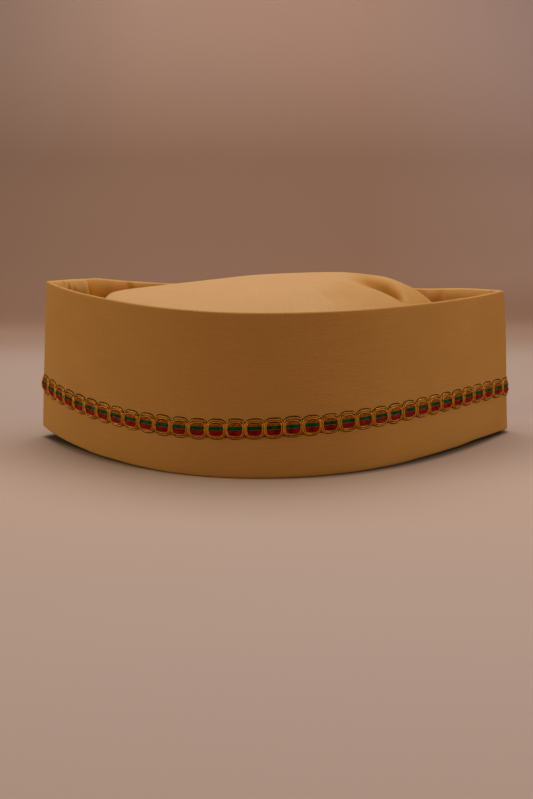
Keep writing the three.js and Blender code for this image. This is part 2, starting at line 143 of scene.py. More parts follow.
# The lower edge is flat over its middle and rises as a power of the way beyond it, to both ends.
def lowerEdge(station):
    flatShare = capForm["restingLength"] / walls["near"]["length"]
    beyond = np.maximum(np.abs(station) - flatShare, 0) / (1 - flatShare)
    endLift = np.where(np.asarray(station) < 0, capForm["leftEndLift"], capForm["rightEndLift"])
    return endLift * beyond ** capForm["liftCurve"]


def topEdge(station, side):
    return wallHeight * readTable(station, topEdges["station"], topEdges[side])


def slopeAt(station):
    extra = capForm["endLeanDegrees"] * np.abs(station) ** capForm["endLeanCurve"]
    return np.tan(np.radians(capForm["wallLeanDegrees"] + extra))


braidForm = {
    "pitch": 8.5,
    "firstRungOffset": 1.9,
    "centreHeight": 23.4,
    "wander": 1.6,
    "groundHeight": 6.9,
    "groundMiddle": -0.55,
    "groundThickness": 0.26,
    "groundHem": 0.06,
    "groundColumns": 29,
    "ribDepth": 0.05,
    "ribPitch": 0.55,
    "loopSeed": 11,
    "loopHalfWidth": 4.08,
    "loopRoundness": 3.1,
    "loopCordRadius": 0.23,
    "shadeLoopRadius": 0.22,
    "loopGap": 0.7,
    "loopTop": 3.85,
    "loopFoot": -4.4,
    "gapShares": {"side": 0.85, "top": 1.45, "foot": 1.1},
    "wobbles": {"side": 0.05, "top": 0.12, "foot": 0.1, "along": 0.06},
    "loopOut": 0.3,
    "shadeLoopShare": 0.4,
    "overThreads": 0.62,
    "innerLoopOut": 0.06,
    "threadsMiddle": -0.65,
    "threadsReach": 2.6,
    "threadOut": 0.5,
    "threadSwell": 0.2,
    "swellCurve": 0.7,
    "threadRounding": 0.12,
    "gatherAtRungs": 0.8,
    "strayUp": 0.07,
    "strayOut": 0.05,
    "edgeCordOut": 0.42,
    "greenRow": {"middle": 0.26, "gap": 0.5, "radius": 0.235, "seed": 5},
    "redRow": {"middle": -1.98, "gap": 0.76, "radius": 0.35, "seed": 6},
    "edgeCords": [(1.92, 0.3), (1.25, 0.33), (-0.76, 0.17), (-3.3, 0.25)],
}


# How much further in a wall is at a height than it is at the braid.
def leanAt(height, station):
    return slopeAt(station) * (height - braidForm["centreHeight"])


# Soft upright folds in the far wall: bell curves along it that fade towards the foot.
def foldDepth(share, height):
    level = height / wallHeight
    depth = 0
    for at, width, deep, lean in zip(*farFolds.values()):
        away = (share - at - lean * level) / width
        depth = depth + deep * np.exp(-away * away)
    return depth * capForm["farFoldDepth"] * mix(capForm["farFoldShareAtFoot"], 1, level)


# A traced wall's values at shares of the way along it.
def alongWall(side, share, keys):
    places = np.linspace(0, 1, capForm["tracingSteps"] + 1)
    return [np.interp(share, places, walls[side][key]) for key in keys]


# One wall of a ring, between the places where its folded ends begin. Height has a row of the ring
# in each row, and inward is the distance in from the band's outer face.
def wallRun(side, inward, height):
    wall = walls[side]
    endLean = leanAt(height, 1)
    radius = np.maximum(capForm["endFoldRadius"] - inward - endLean, capForm["tightestFold"])
    across = inward + endLean + radius
    turns = (turnAtLeft, turnAtRight) if side == "near" else (turnAtRight, turnAtLeft)
    begin = across * math.tan(turns[0] / 2) / wall["length"]
    finish = 1 - across * math.tan(turns[1] / 2) / wall["length"]
    share = mix(begin, finish, np.linspace(0, 1, height.shape[1])[None, :])
    x, y, heading = alongWall(side, share, ("x", "y", "heading"))
    offset = inward + leanAt(height, 2 * share - 1)
    if side == "far":
        offset = offset + foldDepth(share, height)
    return x - offset * np.sin(heading), y + offset * np.cos(heading), heading, radius


# A folded end: a cubic arc that leaves one wall and joins the next along their headings.
def endRun(start, end, turn, steps):
    reach = 4 / 3 * math.tan(turn / 4) * start["radius"]
    t = (np.arange(1, steps) / steps)[None, :]
    rest = 1 - t
    curve = []
    for key, turned in (("x", np.cos), ("y", np.sin)):
        leave = start[key] + reach * turned(start["heading"])
        join = end[key] - reach * turned(end["heading"])
        middle = 3 * rest**2 * t * leave + 3 * rest * t**2 * join
        curve.append(rest**3 * start[key] + middle + t**3 * end[key])
    return curve[0], curve[1], start["heading"] + turn * t


# Rings of the band: near wall, right end, far wall, left end. heightAt gives the height of every
# row at each station, and inward is one distance for each row.
def capRings(inward, heightAt, along, across):
    inward = np.asarray(inward, float).reshape(-1, 1)
    stations = np.linspace(-1, 1, along + 1)[None, :]
    runs = {}
    for side, station in (("near", stations), ("far", -stations)):
        height = np.broadcast_to(heightAt(station, side), (len(inward), along + 1))
        x, y, heading, radius = wallRun(side, inward, height)
        runs[side] = {"x": x, "y": y, "heading": heading, "radius": radius, "height": height}
        runs[side]["station"] = np.broadcast_to(station, x.shape)
    ring = {key: [] for key in ("x", "y", "heading", "height", "station", "far")}
    for side, other, turn in (("near", "far", turnAtRight), ("far", "near", turnAtLeft)):
        run = runs[side]
        start = {key: run[key][:, -1:] for key in run}
        end = {key: runs[other][key][:, :1] for key in run}
        isFar = float(side == "far")
        fold = dict(zip(("x", "y", "heading"), endRun(start, end, turn, across)))
        for key in ("height", "station"):
            fold[key] = np.repeat(start[key], across - 1, axis=1)
        changeOver = np.round(np.arange(1, across) / across - isFar) % 2
        fold["far"] = np.broadcast_to(changeOver, fold["x"].shape)
        run["far"] = np.full(run["x"].shape, isFar)
        for key in ring:
            ring[key] += [run[key], fold[key]]
    return {key: np.concatenate(parts, axis=1) for key, parts in ring.items()}


# A smooth mesh from points in metres.
def newMesh(name, points, squares, material):
    mesh = bpy.data.meshes.new(name)
    mesh.from_pydata(points.reshape(-1, 3).tolist(), [], squares.tolist())
    mesh.polygons.foreach_set("use_smooth", np.ones(len(squares), bool))
    mesh.materials.append(material)
    return mesh


def addObject(name, data):
    made = bpy.data.objects.new(name, data)
    scene.collection.objects.link(made)
    return made


# Makes a smooth piece of the cap from points, squares and a map in millimetres, with a painted shade at each
# point if one is given.
def makePiece(name, points, squares, squareMap, material, paintedShade=None):
    shift = np.array([*capForm["middleShift"], 0])
    mesh = newMesh(name, (points + shift) * mm, squares, material)
    layer = mesh.uv_layers.new(name="clothMap")
    layer.data.foreach_set("uv", (squareMap * mm).reshape(-1).astype(np.float32))
    if paintedShade is not None:
        shade = mesh.attributes.new("paintedShade", "FLOAT", "POINT")
        shade.data.foreach_set("value", paintedShade.astype(np.float32))
    mesh.update()
    piece = addObject(name, mesh)
    print("made", name, "with", len(squares) * 2, "triangles")
    return piece


# A number for each point of a grid, in the grid's own rows and columns.
def gridNumbers(points):
    rows, columns = points.shape[:2]
    return np.arange(rows * columns).reshape(rows, columns)


# The squares of a grid whose point numbers are given, and their corners on the map. A closed
# direction joins its last row or column to its first, and the map's last value closes it.
def gridSquares(numbers, u, v, closedDown=False, closedAlong=False):
    if closedDown:
        numbers = np.concatenate([numbers, numbers[:1]])
    if closedAlong:
        numbers = np.concatenate([numbers, numbers[:, :1]], axis=1)
    squares = np.stack([numbers[:-1, :-1], numbers[:-1, 1:], numbers[1:, 1:], numbers[1:, :-1]], -1)
    places = np.stack(np.broadcast_arrays(u, v), -1)
    corners = np.stack([places[:-1, :-1], places[:-1, 1:], places[1:, 1:], places[1:, :-1]], -2)
    return squares.reshape(-1, 4), corners.reshape(-1, 4, 2)


# The distance along a row of points, starting at 0 and, where the row is closed, back to its start.
def runLength(points, closed=False):
    if closed:
        points = np.concatenate([points, points[:1]])
    return np.concatenate([[0], np.cumsum(np.linalg.norm(np.diff(points, axis=0), axis=1))])


# Materials. Each is a principled shader with a few procedural nodes on the piece's own map. A
# node's input takes another node's output or a fixed value.
def fillSockets(tree, node, sockets):
    for socket, value in sockets.items():
        if isinstance(value, bpy.types.NodeSocket):
            tree.links.new(value, node.inputs[socket])
        else:
            node.inputs[socket].default_value = value


def newMaterial(name):
    material = bpy.data.materials.new(name)
    material.use_nodes = True
    return material


def finishMaterial(material, sockets):
    tree = material.node_tree
    fillSockets(tree, tree.nodes["Principled BSDF"], sockets)
    return material


def addNode(tree, kind, sockets, **settings):
    node = tree.nodes.new("ShaderNode" + kind)
    for key, value in settings.items():
        setattr(node, key, value)
    fillSockets(tree, node, sockets)
    return node


def pieceMap(tree):
    return addNode(tree, "UVMap", {}, uv_map="clothMap").outputs["UV"]


# A noise stretched along the map: along and across are how many grains there are in a metre.
def stretchedNoise(tree, place, along, across, detail, offset):
    sockets = {"Vector": place, "Scale": (along, across, 1), "Location": (offset, offset, 0)}
    stretched = addNode(tree, "Mapping", sockets).outputs["Vector"]
    sockets = {"Vector": stretched, "Scale": 1.0, "Detail": detail, "Roughness": 0.55}
    return addNode(tree, "TexNoise", sockets).outputs["Fac"]


# A value's stretch from low to high, laid over another stretch and held inside it.
def ranged(tree, value, low, high, toLow=0.0, toHigh=1.0, **settings):
    sockets = {"Value": value, "From Min": low, "From Max": high, "To Min": toLow, "To Max": toHigh}
    return addNode(tree, "MapRange", sockets, **settings).outputs["Result"]


# The middle half of a noise's values, laid over a stretch.
def scaled(tree, noise, low, high):
    return ranged(tree, noise, 0.25, 0.75, low, high)


def combined(tree, operation, a, b):
    return addNode(tree, "Math", {0: a, 1: b}, operation=operation).outputs["Value"]


def mixTones(tree, factor, a, b, **settings):
    sockets = {"Factor": factor, "A": a, "B": b}
    return addNode(tree, "Mix", sockets, data_type="RGBA", **settings).outputs["Result"]


# A tone for a value, from tones at places that run from 0 to 1.
def toneRamp(tree, value, places, tones, interpolation="LINEAR"):
    node = addNode(tree, "ValToRGB", {"Fac": value})
    node.color_ramp.interpolation = interpolation
    for place in places[1:-1]:
        node.color_ramp.elements.new(place)
    for element, tone in zip(node.color_ramp.elements, tones):
        element.color = (*tone, 1)
    return node.outputs["Color"]


def relief(tree, height, strength, depth):
    sockets = {"Height": height, "Strength": strength, "Distance": depth}
    return addNode(tree, "Bump", sockets).outputs["Normal"]


# Slubs, upright and clouds are noises: grains in a metre along and across, detail and offset.
clothLook = {
    "dark": (0.464, 0.245, 0.09),
    "light": (0.569, 0.318, 0.123),
    # The band's and the crown's tones are a shaded and a lit copy of one cotton: painted light, warmer and
    # less blue on the band, paler and bluer on the crown.
    "shadedBandTone": (1.05, 0.95, 0.77),
    "litCrownTone": (1.06, 1.06, 1.24),
    "roughness": 0.52,
    "specular": 0.06,
    "sheen": 0.03,
    "sheenRoughness": 0.45,
    "sheenTint": (1.0, 0.82, 0.55, 1),
    # The warm dark tint of painted shade, where that shade is full.
    "paintedShadeTint": (0.6, 0.365, 0.065),
    "slubs": (45, 1500, 3, 0.0),
    "upright": (1300, 60, 2, 3.0),
    "clouds": (30, 30, 2, 7.0),
    "slubTones": (-0.2, 0.2),
    "uprightTones": (-0.09, 0.09),
    "cloudTones": (0.38, 0.62),
    "threadsInMetre": 2600,
    "threadWander": 0.4,
    "warpHeight": 0.5,
    "slubHeight": 1.6,
    "weaveStrength": 0.55,
    "weaveDepth": 0.00006,
}


# Satin-weave cotton: long slubs along the cap and fainter ones up it, over a fine weave. Its tone is
# multiplied by a warm dark tint, raised to the power of the painted shade that each point carries.
def clothFinish(name, tone):
    look = clothLook
    material = newMaterial(name)
    tree = material.node_tree
    place = pieceMap(tree)
    noises = [stretchedNoise(tree, place, *look[key]) for key in ("slubs", "upright", "clouds")]
    stretches = [look[key] for key in ("slubTones", "uprightTones", "cloudTones")]
    parts = [scaled(tree, noise, *stretch) for noise, stretch in zip(noises, stretches)]
    tones = combined(tree, "ADD", combined(tree, "ADD", parts[0], parts[1]), parts[2])
    dark, light = ([c * t for c, t in zip(look[key], tone)] + [1] for key in ("dark", "light"))
    shadeLevel = addNode(tree, "Attribute", {}, attribute_name="paintedShade").outputs["Fac"]
    quarters = [k / 4 for k in range(5)]
    tint = toneRamp(tree, shadeLevel, quarters, [[c**power for c in look["paintedShadeTint"]] for power in quarters])
    colour = mixTones(tree, 1.0, mixTones(tree, tones, dark, light), tint, blend_type="MULTIPLY")
    density = look["threadsInMetre"] / 20 * math.pi
    wave = {"Vector": place, "Scale": density, "Distortion": look["threadWander"], "Detail": 1.0}
    weft, warp = (addNode(tree, "TexWave", wave, bands_direction=way).outputs["Fac"] for way in "YX")
    threads = combined(tree, "ADD", weft, combined(tree, "MULTIPLY", warp, look["warpHeight"]))
    raised = combined(tree, "MULTIPLY", noises[0], look["slubHeight"])
    threads = combined(tree, "ADD", threads, raised)
    sockets = {
        "Base Color": colour,
        "Roughness": look["roughness"],
        "Sheen Weight": look["sheen"],
        "Sheen Roughness": look["sheenRoughness"],
        "Sheen Tint": look["sheenTint"],
        "Specular IOR Level": look["specular"],
        "Normal": relief(tree, threads, look["weaveStrength"], look["weaveDepth"]),
    }
    return finishMaterial(material, sockets)


cordLook = {
    "gold": {"Metallic": 0.45, "Roughness": 0.36},
    "orange": {"Metallic": 0.15, "Roughness": 0.5, "Specular IOR Level": 0.12},
    "silk": {"Roughness": 0.42, "Specular IOR Level": 0.1},
    "plyWander": 0.6,
    "plyTone": 0.55,
    "plyStrength": 0.8,
    "drift": (420, 900, 2, 5.0),
    "driftTones": (-0.25, 0.72),
}
# Each cord's dark and light tone, its surface, its twists in a metre and its plies' depth in metres.
cordTones = {
    "goldCord": ((0.34, 0.11, 0.004, 1), (1.0, 0.44, 0.04, 1), "gold", 800, 0.00006),
    "orangeCord": ((0.23, 0.05, 0.001, 1), (0.56, 0.16, 0.005, 1), "orange", 900, 0.00005),
    # A near-black cord colour: painted shade under and beside the braid's cords.
    "paintedShadeCord": ((0.03, 0.009, 0.001, 1), (0.09, 0.028, 0.003, 1), "orange", 900, 0.00005),
    "greenSilk": ((0.001, 0.01, 0.003, 1), (0.002, 0.15, 0.058, 1), "silk", 430, 0.00007),
    "redSilk": ((0.03, 0.001, 0.001, 1), (0.52, 0.009, 0.008, 1), "silk", 430, 0.00007),
}


# A twisted cord or thread: slanted plies over its own map, with a slow change of tone along it. The
# wide range of tone along the plies is partly the thread's own colour and partly painted shade and painted
# highlight.
def cordFinish(name):
    look = cordLook
    dark, light, surface, twistsInMetre, plyDepth = cordTones[name]
    material = newMaterial(name)
    tree = material.node_tree
    place = pieceMap(tree)
    turned = addNode(tree, "Mapping", {"Vector": place, "Scale": (twistsInMetre, twistsInMetre, 1)})
    sockets = {"Vector": turned.outputs["Vector"], "Scale": math.pi / 10, "Distortion": look["plyWander"]}
    plies = addNode(tree, "TexWave", sockets, bands_direction="DIAGONAL").outputs["Fac"]
    drift = scaled(tree, stretchedNoise(tree, place, *look["drift"]), *look["driftTones"])
    tones = combined(tree, "ADD", combined(tree, "MULTIPLY", plies, look["plyTone"]), drift)
    sockets = {
        **look[surface],
        "Base Color": mixTones(tree, tones, dark, light),
        "Normal": relief(tree, plies, look["plyStrength"], plyDepth),
    }
    return finishMaterial(material, sockets)


# Painted light: one cotton in a shaded copy for the band and a lit copy for the crown.
shadedBandCotton = clothFinish("shadedBandCotton", clothLook["shadedBandTone"])
litCrownCotton = clothFinish("litCrownCotton", clothLook["litCrownTone"])
goldCord, orangeCord, paintedShadeCord, greenSilk, redSilk = [cordFinish(name) for name in cordTones]
print("finishes made")

# The waves of the lower edge have turns, strength and start, and the ripples of the outer face have
# turns, slant and start.
bandLook = {
    "along": 480,
    "across": 16,
    "outerRows": 46,
    "innerRows": 24,
    "rimRows": 7,
    "rimRadius": 0.8,
    "ripple": 0.16,
    "rippleWaves": [(7, 2.5, 0), (11, -4, 1), (17, 6, 0)],
    "edgeRipple": 0.3,
    "edgeWaves": [(23, 1.0, 1.2), (41, 0.7, 0), (9, 0.5, 2)],
}
# The cloth inside the far wall, in the pocket at each end. A pocket or a right tip is given as the
# station where it sets in, without its sign, and the stretch over which it does so. Reaches, the
# fade of the left tip and the edge's width are in mm, and the painted shades run from 0 to 1.
liningLook = {
    "leftPocket": (0.46, 0.16),
    "rightPocket": (0.6, 0.1),
    "leftTip": 0.853,
    "leftTipFade": 0.7,
    "rightTip": (0.86, 0.1),
    "swell": 6.0,
    "swellReach": 6.5,
    "swellBeforeTip": 0.85,
    "leftTipSwell": 1.0,
    "leastDrop": 4,
    "nearWallGap": 3.4,
    "roomShare": 0.5,
    "foldReach": 1.5,
    "foldShade": 0.45,
    "leftShade": 0.54,
    "rightShade": 0.26,
    "shadeReach": (8.0, 18.0),
    "shadeCurve": 1.4,
    "rightTipShade": 0.25,
    "rightTipReach": 2,
    "edgeAt": 0.85,
    "edgeShade": 0.45,
    "edgeWidth": 6,
    "edgeReach": 3,
    "darkest": 0.95,
}
# Folds of the cloth inside the far wall's ends: station at the rim, slant, half-width and depth in
# mm, with a minus sign for a raised fold.
liningFolds = [
    (-0.953, 0.75, 0.8, 1.3),
    (-0.93, 0.75, 1.2, -0.5),
    (-0.864, 0.0, 1.5, -0.7),
    (-0.652, 0.2, 2.2, 1.2),
    (0.748, -0.2, 2.4, 0.45),
    (0.97, 0.0, 0.8, 0.8),
]


# How far the cloth inside the far wall bellies out under the rim in the two end pockets, and how
# much painted shade lies on it. The swell rises as one less an exponential fall, stops above the
# crown and keeps clear of the near wall. The painted shade grows the same way, and along the folds.
def liningSwell(ring):
    look = liningLook
    station, x, y = ring["station"], ring["x"], ring["y"]
    halfWall = walls["far"]["length"] / 2
    under = np.maximum(topEdge(station, "far") - ring["height"], 0)

    def below(reach):
        return 1 - np.exp(-under / reach)

    aside = np.abs(station)
    pocket = np.where(station < 0, setIn(aside, *look["leftPocket"]), setIn(aside, *look["rightPocket"]))
    pocket = pocket * (ring["far"] > 0.5)
    leftTip = setIn(aside, look["leftTip"], look["leftTipFade"] / halfWall)
    tip = np.where(station > 0, setIn(aside, *look["rightTip"]), leftTip)
    crownEdge = topEdge(station, "far") - crownTop(x, np.ones(x.shape), station)
    above = np.clip(1 - (under / np.maximum(crownEdge, look["leastDrop"])) ** 2, 0, 1)
    nearWall = np.interp(x, walls["near"]["x"], walls["near"]["y"])
    room = np.maximum(y - nearWall - look["nearWallGap"], 0) * look["roomShare"]

    folds, foldShade = 0, 0
    for at, slant, halfWidth, depth in liningFolds:
        off = (station - at) * halfWall - under * slant
        strength = np.exp(-((off / halfWidth) ** 2)) * below(look["foldReach"])
        folds = folds + depth * strength
        foldShade = foldShade + max(depth, 0) * strength
    swell = mix(look["swellBeforeTip"], 1, tip) * (look["swell"] * below(look["swellReach"]) - folds)
    swell = swell + look["leftTipSwell"] * tip * (station < 0) * below(look["foldReach"])

    deepest = np.where(station < 0, look["leftShade"], look["rightShade"])
    shade = deepest * (1 - np.exp(-((under / mix(*look["shadeReach"], tip)) ** look["shadeCurve"])))
    shade = shade + look["rightTipShade"] * tip * (station > 0) * below(look["rightTipReach"])
    edge = (station + look["edgeAt"]) * halfWall
    beside = np.where(edge > 0, np.exp(-np.maximum(edge, 0) / look["edgeWidth"]), 0) * (station < 0)
    shade = shade + look["edgeShade"] * beside * below(look["edgeReach"]) + look["foldShade"] * foldShade
    inward = np.clip(np.minimum(swell, room), 0, None) * pocket * above
    return inward, np.clip(shade * pocket, 0, look["darkest"])


# The band: a section with a rounded rim and a rounded lower fold, carried round the cap. The
# outer face has long shallow ripples, and the lower edge wavers a little.
def makeBand():
    radius = bandLook["rimRadius"]
    thickness = capForm["wallThickness"]
    rim = (np.arange(1, bandLook["rimRows"] + 1) / (bandLook["rimRows"] + 1)) * math.pi
    up = np.linspace(0, 1, bandLook["outerRows"])
    down = np.linspace(1, 0, bandLook["innerRows"])
    level = np.concatenate([up, np.ones(len(rim)), down, np.zeros(len(rim))])[:, None]
    overRim, underFold = radius * (1 - np.cos(rim)), radius * (1 + np.cos(rim))
    inward = np.concatenate([0 * up, overRim, 0 * down + thickness, underFold])
    over = np.concatenate([0 * up, radius * np.sin(rim), 0 * down, -radius * np.sin(rim)])[:, None]

    def heightAt(station, side):
        lower, top = lowerEdge(station), topEdge(station, side)
        waves = bandLook["edgeWaves"]
        waver = sum(strength * np.sin(turns * station + start) for turns, strength, start in waves)
        waver = waver / sum(strength for _, strength, _ in waves)
        lower = lower + bandLook["edgeRipple"] * np.abs(station) * (1 + waver)
        return mix(lower + radius, top - radius, level) + over

    ring = capRings(inward, heightAt, bandLook["along"], bandLook["across"])
    distance = runLength(np.stack([ring["x"][5], ring["y"][5]], -1), closed=True)
    around = distance[None, :-1] / distance[-1] * 2 * math.pi
    rise = ring["height"] / wallHeight
    waves = bandLook["rippleWaves"]
    ripples = sum(np.sin(turns * around + slant * rise + start) for turns, slant, start in waves)
    isOuter = np.concatenate([np.sin(math.pi * up) ** 0.5, 0 * rim, 0 * down, 0 * rim])[:, None]
    isInner = np.concatenate([0 * up, np.sin(rim / 2) ** 6, 0 * down + 1, 0 * rim])[:, None]
    swell, shade = liningSwell(ring)
    push = isOuter * bandLook["ripple"] * ripples / len(waves) - isInner * swell
    x = ring["x"] + push * np.sin(ring["heading"])
    y = ring["y"] - push * np.cos(ring["heading"])
    points = np.stack([x, y, ring["height"]], -1)
    section = runLength(points[:, bandLook["along"] // 2], closed=True)
    grid = (gridNumbers(points), distance[None, :], section[:, None])
    squares, corners = gridSquares(*grid, closedDown=True, closedAlong=True)
    # Painted shade lies only on the band's inner face.
    shade = (shade * isInner).reshape(-1)
    return makePiece("bandCloth", points.reshape(-1, 3), squares, corners, shadedBandCotton, shade)


crownForm = {
    "rise": 9.9,
    "cloth": 1.4,
    "clearance": 0.5,
    "hemClearance": 0.7,
    "tuckNear": 1.2,
    "tuckFar": 4.0,
    "pocketSag": 7.0,
    "pocketRounding": 4.0,
    "roundness": 2.2,
    "valleyDepth": 4.6,
    "valleyCurve": 1.6,
    "wideness": 108.0,
    "along": 380,
    "across": 96,
    "skirtRows": 10,
}
crownRidge = {
    "place": [-1, -0.9, -0.8, -0.745, -0.705, -0.66, -0.55, -0.405, -0.25, -0.09, 0.15, 0.27, 0.36, 0.45, 0.53,
              0.59, 0.65, 0.71, 0.8, 0.9, 1],
    "height": [0.17, 0.3, 0.57, 0.78, 0.868, 0.893, 0.914, 0.937, 0.963, 0.987, 1, 0.998, 0.986, 0.967, 0.924,
               0.878, 0.8, 0.66, 0.46, 0.28, 0.15],
}
crownValley = {
    "across": [0, 0.05, 0.1, 0.15, 0.2, 0.25, 0.3, 0.36, 0.44, 1],
    "ridge": [0.478, 0.458, 0.425, 0.395, 0.36, 0.315, 0.26, 0.19, 0.12, 0.12],
    "bottom": [0.494, 0.479, 0.463, 0.449, 0.434, 0.418, 0.4, 0.375, 0.345, 0.34],
    "width": [0.012, 0.013, 0.014, 0.016, 0.02, 0.024, 0.03, 0.036, 0.05, 0.05],
    "depth": [0.3, 0.35, 0.5, 0.8, 1.2, 1.4, 1.35, 0.9, 0.1, 0],
    "shade": [0.7, 0.25, 0.3, 0.6, 0.95, 1, 1, 0.85, 0.3, 0],
}
# The crown's painted shade: on its right slope, more so towards the near side, then at its right end,
# with the place where each sets in and the stretch over which it does so. The valley's comes last.
crownShade = {
    "slope": 0.05,
    "nearSlope": 0.12,
    "nearWidth": 0.3,
    "slopeStart": (0.1, 0.25),
    "end": 0.2,
    "endStart": (0.44, 0.12),
    "valleyCurve": 2.2,
    "valleyReach": 0.3,
}
# Faint creases in the crown's near side: two ends as shares along and across, then depth and
# half-width in mm and the painted shade that lies in it, with a minus sign for a ridge and a painted paler
# line.
crownCreases = [
    ((0.08, 0.3), (0.185, 0.04), -0.35, 1.3, -0.12),
    ((0.1, 0.3), (0.205, 0.04), 0.1, 2.0, 0.04),
    ((0.19, 0.31), (0.3, 0.19), 0.25, 2.2, 0.05),
    ((-0.62, 0.1), (-0.35, 0.2), 0.2, 3.0, 0.03),
    ((0.14, 0.2), (0.33, 0.1), 0.9, 8.0, 0.09),
]


# The lower of two heights, rounded off where they cross.
def softLower(a, b, rounding):
    near = np.maximum(rounding - np.abs(a - b), 0) / rounding
    return np.minimum(a, b) - near * near * rounding / 4


# Where a place lies in the valley: how far down its near slope, how far beyond its bottom, and the
# valley's depth and painted shade there.
def valleyAt(place, across):
    keys = ("ridge", "bottom", "width", "depth", "shade")
    places = crownValley["across"]
    brow, bottom, width, depth, shade = (readTable(across, places, crownValley[key]) for key in keys)
    beyond = np.maximum(place - bottom, 0) / width
    fall = np.clip((place - brow) / (bottom - brow), 0, 1) ** crownForm["valleyCurve"]
    return fall, beyond, depth, shade


# The creases at a place: how deep, and how much painted shade.
def creasesAt(place, across):
    relief, shade = 0, 0
    for (x0, a0), (x1, a1), deep, halfWidth, dark in crownCreases:
        runX, runA = x1 - x0, a1 - a0
        along = np.clip(((place - x0) * runX + (across - a0) * runA) / (runX**2 + runA**2), 0, 1)
        offX = (place - mix(x0, x1, along)) * halfLength
        offA = (across - mix(a0, a1, along)) * crownForm["wideness"]
        off = np.hypot(offX, offA) / halfWidth
        strength = np.exp(-off * off) * np.sin(math.pi * np.clip(along, 0.06, 0.94))
        relief, shade = relief + deep * strength, shade + dark * strength
    return relief, shade


# The crown's top: its ridge line falls to the walls as a power of the way across, less the valley,
# which falls from a crisp brow to its bottom and rises again as a bell curve, and less the creases.
def crownTop(x, across, station):
    place = np.clip(x / halfLength, -1, 1)
    crownHeight = wallHeight + crownForm["rise"]
    ridge = crownHeight * readTable(place, crownRidge["place"], crownRidge["height"])
    nearWall = topEdge(station, "near") - crownForm["tuckNear"]
    farWall = topEdge(station, "far") - crownForm["tuckFar"]
    wall = np.where(across < 0.5, nearWall, farWall)
    edge = softLower(ridge - crownForm["pocketSag"], wall, crownForm["pocketRounding"])
    fall, beyond, depth, _ = valleyAt(place, across)
    away = np.abs(2 * across - 1) ** crownForm["roundness"]
    creases, _ = creasesAt(place, across)
    valley = crownForm["valleyDepth"] * depth * fall * np.exp(-beyond * beyond)
    return mix(ridge, edge, away) - valley - creases


# Fills the inside of a ring with a grid, by blending its four sides.
def fillRing(loop, along, across):
    farRight = along + across
    farLeft = farRight + along
    near, right, far = loop[: along + 1], loop[along : farRight + 1], loop[farRight : farLeft + 1][::-1]
    left = np.concatenate([loop[:1], loop[farLeft:][::-1]])
    a = np.linspace(0, 1, along + 1)[None, :, None]
    b = np.linspace(0, 1, across + 1)[:, None, None]
    ruled = mix(near[None], far[None], b) + mix(left[:, None], right[:, None], a)
    corners = mix(mix(loop[0], loop[along], a), mix(loop[farLeft], loop[farRight], a), b)
    return ruled - corners, b[..., 0] + 0 * a[..., 0], mix(-1, 1, a[..., 0]) + 0 * b[..., 0]


def hemHeight(station):
    return lowerEdge(station) + crownForm["hemClearance"]


# One face of the crown's cloth: the puffed top and, below its rim, the side down to the hem.
def crownFace(inset, lowered):
    along, across, skirtRows = crownForm["along"], crownForm["across"], crownForm["skirtRows"]

    def rimHeight(station, side):
        share = (station + 1) / 2 if side == "near" else (1 - station) / 2
        x, heading = alongWall(side, share, ("x", "heading"))
        offset = inset + leanAt(wallHeight, station)
        offset = offset + (foldDepth(share, wallHeight) if side == "far" else 0)
        return crownTop(x - offset * np.sin(heading), 0.0 if side == "near" else 1.0, station)

    rim = capRings([inset], rimHeight, along, across)
    plan, acrossShare, station = fillRing(np.stack([rim["x"][0], rim["y"][0]], -1), along, across)
    height = crownTop(plan[..., 0], acrossShare, station)
    if lowered:
        slope = crownTop(plan[..., 0] + 1, acrossShare, station) - height
        floor = hemHeight(station) + crownForm["cloth"]
        height = np.maximum(height - crownForm["cloth"] * np.hypot(1, slope), floor)
    top = np.concatenate([plan, height[..., None]], -1)
    numbers = gridNumbers(top)
    rimNumbers = np.concatenate([numbers[0], numbers[1:-1, -1], numbers[-1, ::-1], numbers[1:-1, 0][::-1]])
    rimHeights = top.reshape(-1, 3)[rimNumbers, 2]
    nearHeights = rimHeights[: along + 1]
    farHeights = rimHeights[along + across : 2 * along + across + 1]
    level = np.linspace(0, 1, skirtRows + 1)[:-1, None]

    def skirtHeight(station, side):
        rimLine = nearHeights if side == "near" else farHeights
        return mix(hemHeight(station), rimLine, level)

    skirt = capRings(np.full(skirtRows, inset), skirtHeight, along, across)
    heights = mix(hemHeight(skirt["station"]), rimHeights[None], level)
    skirtPoints = np.stack([skirt["x"], skirt["y"], heights], -1)
    skirtNumbers = len(top.reshape(-1, 3)) + np.arange(skirtPoints[..., 0].size).reshape(skirtRows, -1)
    points = np.concatenate([top.reshape(-1, 3), skirtPoints.reshape(-1, 3)])
    return points, numbers, np.concatenate([skirtNumbers, rimNumbers[None]])


